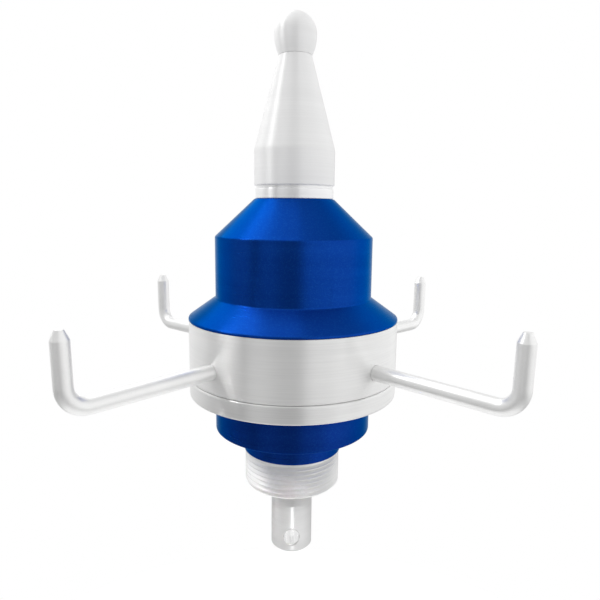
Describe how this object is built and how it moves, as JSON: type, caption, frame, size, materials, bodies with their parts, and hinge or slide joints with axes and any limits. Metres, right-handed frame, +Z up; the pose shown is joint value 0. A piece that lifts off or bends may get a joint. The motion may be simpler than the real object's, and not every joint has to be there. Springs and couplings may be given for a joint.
{
  "type": "lightning rod",
  "caption": "Early-streamer lightning rod head: bulb tip and turned cone on a blue stepped cap, a ring with bent upright electrodes, and a threaded stub for the mast.",
  "frame": {"origin": "on the axis, in the plane where the mast thread meets the underside of the lower body", "axes": "+Z up along the axis to the tip, -Y towards the viewer, +X to the viewer's right; the electrodes stand at 45 degrees between the axes"},
  "size_m": [0.171, 0.171, 0.2632],
  "materials": {
    "turned_aluminium": "turned, with fine marks round the axis",
    "polished_aluminium": "polished",
    "brushed_aluminium": "brushed round the axis",
    "satin_aluminium": "satin, drawn along the rod",
    "rod_aluminium": "fine turned",
    "thread_aluminium": "machined thread",
    "blue_anodised": "anodised metallic blue, half gloss",
    "insulator_plastic": "matt",
    "potting_resin": "matt cast resin",
    "copper": "tinned lug and bare copper",
    "fastener_steel": "stainless",
    "seal_rubber": "matt"
  },
  "bodies": {
    "root": {"strike_tip": "turned_aluminium", "upper_cone": "turned_aluminium", "cone_collar": "polished_aluminium", "electrode_ring": "brushed_aluminium", "base_flange": "brushed_aluminium", "electrode_front_left": "satin_aluminium", "electrode_front_right": "satin_aluminium", "electrode_rear_left": "satin_aluminium", "electrode_rear_right": "satin_aluminium", "central_rod": "rod_aluminium", "mast_stub": "thread_aluminium", "upper_cap": "blue_anodised", "lower_body": "blue_anodised", "rod_insulator": "insulator_plastic", "impulse_generator": "potting_resin", "earth_washer": "copper", "pickup_lead": "copper", "generator_nut": "fastener_steel", "electrode_set_screws": "fastener_steel", "pickup_screw": "fastener_steel", "clamp_washer": "fastener_steel", "clamp_nut": "fastener_steel", "ring_gasket_upper": "seal_rubber", "ring_gasket_lower": "seal_rubber", "collar_seal": "seal_rubber", "body_seal": "seal_rubber", "stub_seal": "seal_rubber"}
  },
  "joints": []
}
